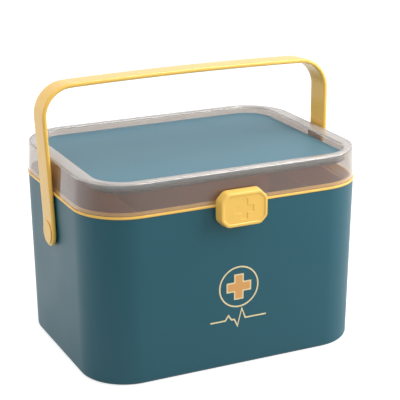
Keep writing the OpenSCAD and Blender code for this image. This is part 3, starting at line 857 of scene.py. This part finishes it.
# %% Handle: round the strip's edges
EDGE_ROUND = 2.1
BORE_ROUND = 0.4
work = bmesh.new()
work.from_mesh(strap.data)
weight = work.edges.layers.float.new("bevel_weight_edge")
for edge in work.edges:
    if edge.calc_face_angle() > math.radians(60):
        middle = (edge.verts[0].co + edge.verts[1].co) / 2 / MM
        reach = math.hypot(path_length / 2 - abs(middle.x), middle.y)
        edge[weight] = BORE_ROUND / EDGE_ROUND if reach < EYE_R + 0.1 else 1.0
work.to_mesh(strap.data)
work.free()
round_edges(strap, EDGE_ROUND, segments=6, limit="WEIGHT")
print("with round edges it has", len(strap.data.polygons), "faces")

# %% Handle: bend the strip along its path
bend_tree, bend = new_tree("strip_along_a_path", {"Path": "Object", "Strip Length": "Float"})
path_info = add_node(bend_tree, "GeometryNodeObjectInfo", {"Object": bend["Path"]})
path_curve = add_node(bend_tree, "GeometryNodeMeshToCurve", {"Mesh": path_info.outputs["Geometry"]})
where = add_node(bend_tree, "GeometryNodeInputPosition")
parts = add_node(bend_tree, "ShaderNodeSeparateXYZ", {"Vector": where.outputs["Position"]})
half_strip = math_node(bend_tree, "MULTIPLY", bend["Strip Length"], 0.5)
distance = math_node(bend_tree, "ADD", parts.outputs["X"], half_strip)
on_path = add_node(bend_tree, "GeometryNodeSampleCurve", {
    "Curves": path_curve.outputs["Curve"], "Length": distance}, mode="LENGTH")
outward = vector_node(bend_tree, "CROSS_PRODUCT", on_path.outputs["Tangent"], (0.0, 1.0, 0.0))
thickness = vector_node(bend_tree, "SCALE", outward, parts.outputs["Z"])
# A strip end reaches past the path's end, so there it runs straight on.
on_strip = add_node(bend_tree, "ShaderNodeClamp", {
    "Value": distance, "Min": 0.0, "Max": bend["Strip Length"]})
past_end = math_node(bend_tree, "SUBTRACT", distance, on_strip.outputs["Result"])
run_on = vector_node(bend_tree, "SCALE", on_path.outputs["Tangent"], past_end)
across = add_node(bend_tree, "ShaderNodeCombineXYZ", {"Y": parts.outputs["Y"]}).outputs["Vector"]
place = on_path.outputs["Position"]
for step in (run_on, across, thickness):
    place = vector_node(bend_tree, "ADD", place, step)
bent = add_node(bend_tree, "GeometryNodeSetPosition", {"Geometry": bend["Geometry"], "Position": place})
end_tree(bend_tree, bent.outputs["Geometry"], bend["Material"])
run_tree(strap, bend_tree, yellow_abs, {"Path": path_object, "Strip Length": path_length * MM})
bpy.data.objects.remove(path_object)
strap.data.transform(Matrix.Translation((0, 0, PIVOT_Z * MM)) @ Matrix.Rotation(-HANDLE_LEAN, 4, "X"))
dress(strap, "handle", "yellow_plastic", yellow_abs, "handle_bail")

# %% [markdown]
# ## Pivot caps
#
# Each arm turns on a round cap: a disc that shows, a bearing that fills the arm's bore, and a neck in the
# bin's wall that a screw pulls tight from inside. It is turned from one profile, like a part on a lathe.

# %% Pivot caps
NECK_R = 4.5
NECK_END = 145.51
BEARING_R = 7.0
DISC_R = 11.5
DISC_REAR = 154.51
DISC_FACE = 155.1
DISH_FACE = 154.95
CAP_PROFILE = [
    (PIN_SEAT_R, DISC_REAR, 0),
    (PIN_SEAT_R, NECK_END, 0.1),
    (NECK_R, NECK_END, 0.3),
    (NECK_R, BOSS_FACE, 0),
    (BEARING_R, BOSS_FACE + 0.01, 0.2),
    (BEARING_R, DISC_REAR, 0),
    (DISC_R, DISC_REAR, 0.1),
    (DISC_R, DISC_FACE, 0.4),
    (9.2, DISC_FACE, 0.3),
    (8.8, DISH_FACE, 0.3),
    (3.0, DISH_FACE, 0),
]
for side, name in ((-1, "left"), (1, "right")):
    cap = turned("pivot_cap_" + name, [(r, side * x, edge) for r, x, edge in CAP_PROFILE], PIVOT)
    dress(cap, "box", "yellow_plastic", yellow_abs, "handle_cap_" + name)

# %% [markdown]
# ## The latch button
#
# The button is an octagon with round corners and a dished face, so that the rim round the dish catches the
# light. All its outlines share eight corner centres, which keeps every edge parallel. A shallow cross is sunk
# into the dish. Behind the face the button is hollow, with two ribs on its pin, a hook that reaches over the
# lid's catch and a peg for the spring.

# %% Latch button: octagon
BUTTON_W = 49
BUTTON_H = 33.4
BUTTON_CUT = 7
BUTTON_Z = 168
BUTTON_CORNER_R = 6
BUTTON_ARC_STEPS = 6


def octagon_loop(inset, forward):
    x = BUTTON_W / 2 - BUTTON_CORNER_R
    z = BUTTON_H / 2 - BUTTON_CORNER_R
    cut = BUTTON_CUT - BUTTON_CORNER_R * (2 - math.sqrt(2))
    centres = [(x, z - cut), (x - cut, z), (cut - x, z), (-x, z - cut), (-x, cut - z), (cut - x, -z),
               (x - cut, -z), (x, cut - z)]
    radius = max(BUTTON_CORNER_R - inset, 0.05)
    loop = []
    for i, (u, v) in enumerate(centres):
        for k in range(BUTTON_ARC_STEPS + 1):
            angle = math.radians(45 * (i + k / BUTTON_ARC_STEPS))
            loop.append((u + radius * math.cos(angle), -forward, BUTTON_Z + v + radius * math.sin(angle)))
    return loop


button_profile = softened([
    (5.9, 121.95, 0),
    (1.8, 121.95, 0.6),
    (1.8, 113.85, 0.3),
    (-1.1, 113.85, 0.3),
    (-1.1, 115.05, 0.6),
    (0, 124.55, 1.3),
    (2.6, 124.55, 0.4),
    (3.1, 123.75, 0.35),
    (5.9, 123.75, 0),
])
button = loft("latch_button_shell", [octagon_loop(inset, forward) for inset, forward in button_profile])

# %% Latch button: cross, hook, ribs and peg
# The parts behind the button's face are rooted in its wall.
FACE_ROOT = -122.3
RIB_R = 3.3


def cross_loop(inset, forward, half=10, arm=3.5):
    a = half - inset
    b = arm - inset
    corners = [(a, -b), (a, b), (b, b), (b, a), (-b, a), (-b, b),
               (-a, b), (-a, -b), (-b, -b), (-b, -a), (b, -a), (b, -b)]
    line = softened([(u, v, 0.6) for u, v in corners], closed=True)
    return [(u, -forward, BUTTON_Z + v) for u, v in line]


button_parts = []
web_half = RIB_R - HAIR
for x0, x1 in ((-18.5, -16), (16, 18.5)):
    button_parts += pin_eye(
        RIB_R, x0, x1, LATCH_PIN, FACE_ROOT, LATCH_PIN_Z - web_half, LATCH_PIN_Z + web_half)
button_parts.append(block("hook", (-11, FACE_ROOT, 176.8), (11, -111.98, 179.3), 0.4))
button_parts.append(rod("button_peg", PEG_R, FACE_ROOT, -120.35, (0, 0, SPRING_Z), axis="Y"))
combine(button, button_parts, "UNION")
sunk_cross = loft("sunk_cross", [cross_loop(inset, forward) for inset, forward in (
    (0.15, 123.25), (0, 123.4), (0, 123.6), (-0.2, 123.8), (-0.2, 124.2))])
combine(button, [sunk_cross, pin_hole(PIN_BORE_R, 21, LATCH_PIN)], "DIFFERENCE")
dress(button, "latch", "yellow_plastic", yellow_abs, "latch_button")

# %% [markdown]
# ## The latch spring
#
# A small compression spring pushes the button back. It follows a rule, so Geometry Nodes draw it: a spiral
# with a round wire pulled along it. It rides on the bin. The real one shortens as the button is pressed;
# here it is drawn at one length.

# %% Latch spring
spring_tree, spring_in = new_tree("coil_spring", {
    "Turns": "Float", "Mean Radius": "Float", "Height": "Float", "Wire Radius": "Float"})
spiral = add_node(spring_tree, "GeometryNodeCurveSpiral", {
    "Resolution": 24, "Rotations": spring_in["Turns"], "Start Radius": spring_in["Mean Radius"],
    "End Radius": spring_in["Mean Radius"], "Height": spring_in["Height"]})
wire = add_node(spring_tree, "GeometryNodeCurvePrimitiveCircle", {
    "Resolution": 10, "Radius": spring_in["Wire Radius"]})
coil = add_node(spring_tree, "GeometryNodeCurveToMesh", {
    "Curve": spiral.outputs["Curve"], "Profile Curve": wire.outputs["Curve"], "Fill Caps": True})
end_tree(spring_tree, coil.outputs["Mesh"], spring_in["Material"])

SPRING_REAR = -113.67
SPRING_FRONT = -121.93
WIRE_R = 0.35
spring = bare_piece("latch_spring_coil")
run_tree(spring, spring_tree, steel, {
    "Turns": 5.0,
    "Mean Radius": 2.35 * MM,
    "Height": (SPRING_REAR - SPRING_FRONT - 2 * WIRE_R) * MM,
    "Wire Radius": WIRE_R * MM,
})
spring.data.transform(Matrix.Translation((0, (SPRING_REAR - WIRE_R) * MM, SPRING_Z * MM))
                      @ Matrix.Rotation(math.radians(90), 4, "X"))
dress(spring, "box", "steel", steel, "latch_spring")
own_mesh(spring)

# %% [markdown]
# ## The tray and its dividers
#
# A smoky tray hangs by its flange on the rim frame's ledge. Pairs of guide ribs on its walls hold two
# dividers. The eight ribs are one shape repeated, so Geometry Nodes set one on each point that the object
# holds, and a Boolean then grows them together with the tray's wall.

# %% Tray
TRAY_BOTTOM = 119.7
TRAY_TOP = 167.7
TRAY_SEAT = 166.1
DIVIDER_X = 92
DIVIDER_T = 1.6
GUIDE_GAP = 0.15
RIB_W = 1.6
RIB_OUT = 4.4
RIB_INNER = 98.25
RIB_LOW = 124.7
RIB_TOP = TRAY_TOP - HAIR
tray_profile = softened([
    (34, TRAY_BOTTOM, 0),
    (41.7, TRAY_BOTTOM, 5),
    (42.67, TRAY_SEAT, 0.3),
    (45.7, TRAY_SEAT, 0.3),
    (45.7, TRAY_TOP, 0.6),
    (41.1, TRAY_TOP, 0.5),
    (40.13, 121.3, 3.4),
    (34, 121.3, 0),
], steps=6)
tray = loft("tray_shell", [box_outline(r, z) for r, z in tray_profile])

rib_tree, rib_in = new_tree("ribs_on_points", {"Rib Size": "Vector"})
rib_cube = add_node(rib_tree, "GeometryNodeMeshCube", {"Size": rib_in["Rib Size"]})
ribs_set = add_node(rib_tree, "GeometryNodeInstanceOnPoints", {
    "Points": rib_in["Geometry"], "Instance": rib_cube.outputs["Mesh"]})
end_tree(rib_tree, ribs_set.outputs["Instances"], rib_in["Material"])
rib_offset = DIVIDER_T / 2 + GUIDE_GAP + RIB_W / 2
rib_points = [(x + half * rib_offset, end * (RIB_INNER + RIB_OUT / 2), (RIB_LOW + RIB_TOP) / 2)
              for x in (-DIVIDER_X, DIVIDER_X) for end in (-1, 1) for half in (-1, 1)]
ribs = bare_piece("guide_ribs", rib_points)
run_tree(ribs, rib_tree, tray_polystyrene, {
    "Rib Size": (RIB_W * MM, RIB_OUT * MM, (RIB_TOP - RIB_LOW) * MM)})
combine(tray, [ribs], "UNION")
dress(tray, "tray", "tray_plastic", tray_polystyrene, "upper_tray")

# %% Dividers
DIVIDER_FOOT = 121.45
DIVIDER_HALF = 101.1
DIVIDER_EDGE_R = 0.35
EDGE_CUT = 5
MIDDLE_HALF = 91.05


def divider_loop(x):
    return [(x, y, z) for y, z in (
        (EDGE_CUT - DIVIDER_HALF, DIVIDER_FOOT), (DIVIDER_HALF - EDGE_CUT, DIVIDER_FOOT),
        (DIVIDER_HALF, DIVIDER_FOOT + EDGE_CUT), (DIVIDER_HALF, TRAY_TOP), (-DIVIDER_HALF, TRAY_TOP),
        (-DIVIDER_HALF, DIVIDER_FOOT + EDGE_CUT))]


for x, name in ((-DIVIDER_X, "left"), (DIVIDER_X, "right")):
    divider = loft("divider_" + name, [divider_loop(x - DIVIDER_T / 2), divider_loop(x + DIVIDER_T / 2)])
    finish_mesh(round_edges(divider, DIVIDER_EDGE_R))
    dress(divider, "tray", "tray_plastic", tray_polystyrene, "tray_divider_" + name)
low = (-MIDDLE_HALF, -DIVIDER_T / 2, DIVIDER_FOOT)
high = (MIDDLE_HALF, DIVIDER_T / 2, TRAY_TOP)
divider = finish_mesh(block("divider_middle", low, high, DIVIDER_EDGE_R))
dress(divider, "tray", "tray_plastic", tray_polystyrene, "tray_divider_middle")

# %% [markdown]
# ## The print on the front
#
# A plain sign marks the box: a plus in a ring, and a pulse line under it. It is screen-printed, a skin of ink
# about a tenth of a millimetre thick. Flat shapes are drawn in the wall's own plane and lifted onto it, so
# the print follows the wall's slope. As real thin meshes they keep their crisp edges at any distance.

# %% Print
INK_T = 0.12
INK_SINK = 0.05
SIGN_X = 1.5
SIGN_Z = 84.0
RING_STEPS = 96
MITRE_LIMIT = 0.45


def on_front(u, v, lift):
    return (u, -(AXIS_Y + bin_radius(v)) - lift, v)


def printed(name, loops, material):
    """Ink between two outlines, or within one, with its real thickness."""
    front = [[on_front(u, v, INK_T) for u, v in loop] for loop in loops]
    rear = [[on_front(u, v, -INK_SINK) for u, v in loop] for loop in loops]
    piece = loft(name, front + rear[::-1], closed=len(loops) == 2)
    dress(piece, "box", "yellow_plastic", material)


def ring(radius):
    return [(SIGN_X + u, SIGN_Z + v) for u, v in circle(radius, RING_STEPS)]


def plus(inset):
    return [(SIGN_X + x, SIGN_Z + z - BUTTON_Z) for x, y, z in cross_loop(inset, 0, half=13.4, arm=5.2)]


def pulse_line(width):
    # The first and last points aren't drawn. They only give the ends a direction.
    line = [Vector(p) for p in (
        (-30, 50), (-29, 50), (-13, 50), (-9.5, 55), (-6, 50), (-3, 50),
        (0.5, 42.5), (5, 60.5), (9, 50), (32, 50), (33, 50))]
    upper = []
    lower = []
    for last, here, coming in zip(line, line[1:], line[2:]):
        before = (here - last).normalized()
        after = (coming - here).normalized()
        along = (before + after).normalized()
        side = Vector((-along.y, along.x)) * width / 2 / max(along.dot(after), MITRE_LIMIT)
        upper.append(tuple(here + side))
        lower.append(tuple(here - side))
    return upper + lower[::-1]


printed("print_ring", [ring(21.5), ring(20.0)], cream_ink)
printed("print_plus_outline", [plus(0), plus(1.4)], cream_ink)
printed("print_plus", [plus(1.38)], amber_ink)
printed("print_pulse", [pulse_line(1.5)], cream_ink)

# %% [markdown]
# ## Floor, backdrop and light
#
# The box stands on a pale floor in a white room. Soft lamps shape it, and the room adds an even fill. The
# white of the background must not come from more light on the object, so the world is two things at once:
# camera, mirror and see-through rays find plain white, and all other rays find the dimmer fill.

# %% World
FILL = 0.55
world = bpy.data.worlds.new("white_room")
world.use_nodes = True
world_tree = world.node_tree
world_tree.nodes.clear()
scene.world = world


def is_one_of(tree, *kinds):
    """1 for rays of these kinds, 0 for all others."""
    rays = add_node(tree, "ShaderNodeLightPath")
    found = rays.outputs[kinds[0]]
    for kind in kinds[1:]:
        found = math_node(tree, "MAXIMUM", found, rays.outputs[kind])
    return found


fill_light = add_node(world_tree, "ShaderNodeBackground", {"Color": (1, 1, 1, 1), "Strength": FILL})
plain_white = add_node(world_tree, "ShaderNodeBackground", {"Color": (1, 1, 1, 1), "Strength": 1.0})
seen_rays = is_one_of(world_tree, "Is Camera Ray", "Is Glossy Ray", "Is Transmission Ray")
sky = add_node(world_tree, "ShaderNodeMixShader", {
    0: seen_rays, 1: fill_light.outputs["Background"], 2: plain_white.outputs["Background"]})
add_node(world_tree, "ShaderNodeOutputWorld", {"Surface": sky.outputs["Shader"]})
print("fill level", FILL)

# %% Floor
# A share of the floor's white is its own, for camera and see-through rays, so that it fades into the white
# room but still shows the object's shadow. Mirror rays find that share growing from MIRROR_START in front of
# the box's middle to MIRROR_FULL behind it, as in a studio whose backdrop is lit from above: this gives the
# box's left side its pale sheen and keeps the front deep. Both are in metres along Y.
FLOOR_HALF = 3000
OWN_WHITE = 0.7
MIRROR_START = -0.3
MIRROR_FULL = 0.15
floor_material, floor_tree = empty_material("pale_floor")
floor_paint = add_node(floor_tree, "ShaderNodeBsdfDiffuse", {"Color": linear("#c2c2c2")})
floor_white = add_node(floor_tree, "ShaderNodeEmission", {"Color": (1, 1, 1, 1), "Strength": OWN_WHITE})
floor_place = add_node(floor_tree, "ShaderNodeTexCoord").outputs["Object"]
floor_axes = add_node(floor_tree, "ShaderNodeSeparateXYZ", {"Vector": floor_place})
behind = add_node(floor_tree, "ShaderNodeMapRange", {
    "Value": floor_axes.outputs["Y"], "From Min": MIRROR_START, "From Max": MIRROR_FULL})
glossy_rays = is_one_of(floor_tree, "Is Glossy Ray")
straight_rays = is_one_of(floor_tree, "Is Camera Ray", "Is Transmission Ray")
mirrored = math_node(floor_tree, "MULTIPLY", glossy_rays, behind.outputs["Result"])
shows_white = math_node(floor_tree, "MAXIMUM", straight_rays, mirrored)
floor_own = add_node(floor_tree, "ShaderNodeMixShader", {0: shows_white, 2: floor_white.outputs["Emission"]})
floor_both = add_node(floor_tree, "ShaderNodeAddShader", {
    0: floor_paint.outputs["BSDF"], 1: floor_own.outputs["Shader"]})
add_node(floor_tree, "ShaderNodeOutputMaterial", {"Surface": floor_both.outputs["Shader"]})
floor_corners = [(sx * FLOOR_HALF, sy * FLOOR_HALF, -0.05) for sx, sy in ((-1, -1), (1, -1), (1, 1), (-1, 1))]
floor = mesh_piece("floor", floor_corners, [(0, 1, 2, 3)])
floor.data.materials.append(floor_material)
print("the floor reaches", FLOOR_HALF * MM, "m to each side")

# %% [markdown]
# Three lamps light the box: one from the front right, a wide one from above and a weak one from behind on the
# left. They are large discs, so that shadows stay soft. The front one stands high, because the lid's upright
# front wall would mirror a lower one as a pale patch. A fourth lamp gives no light of its own to coloured
# surfaces: it is there to be mirrored, as a bright line along the lid's front edge.

# %% Lamps
BOX_MIDDLE = (0, 0, 0.12)
LID_FRONT = (0, -0.11, 0.2)


def soft_lamp(name, position, target, size, power):
    data = bpy.data.lights.new(name, "AREA")
    data.shape = "DISK"
    data.size = size
    data.energy = power
    return aimed(name, data, position, Vector(target) - Vector(position))


soft_lamp("front_lamp", (0.9, -0.5, 0.68), BOX_MIDDLE, 1.05, 13)
soft_lamp("top_lamp", (-0.3, -0.1, 1.6), BOX_MIDDLE, 2.2, 12.5)
soft_lamp("left_lamp", (-1.2, 1.3, 0.4), BOX_MIDDLE, 0.8, 3)
edge_lamp = soft_lamp("edge_lamp", (0.58, -0.11, 1.48), LID_FRONT, 0.62, 14)
edge_lamp.visible_diffuse = False
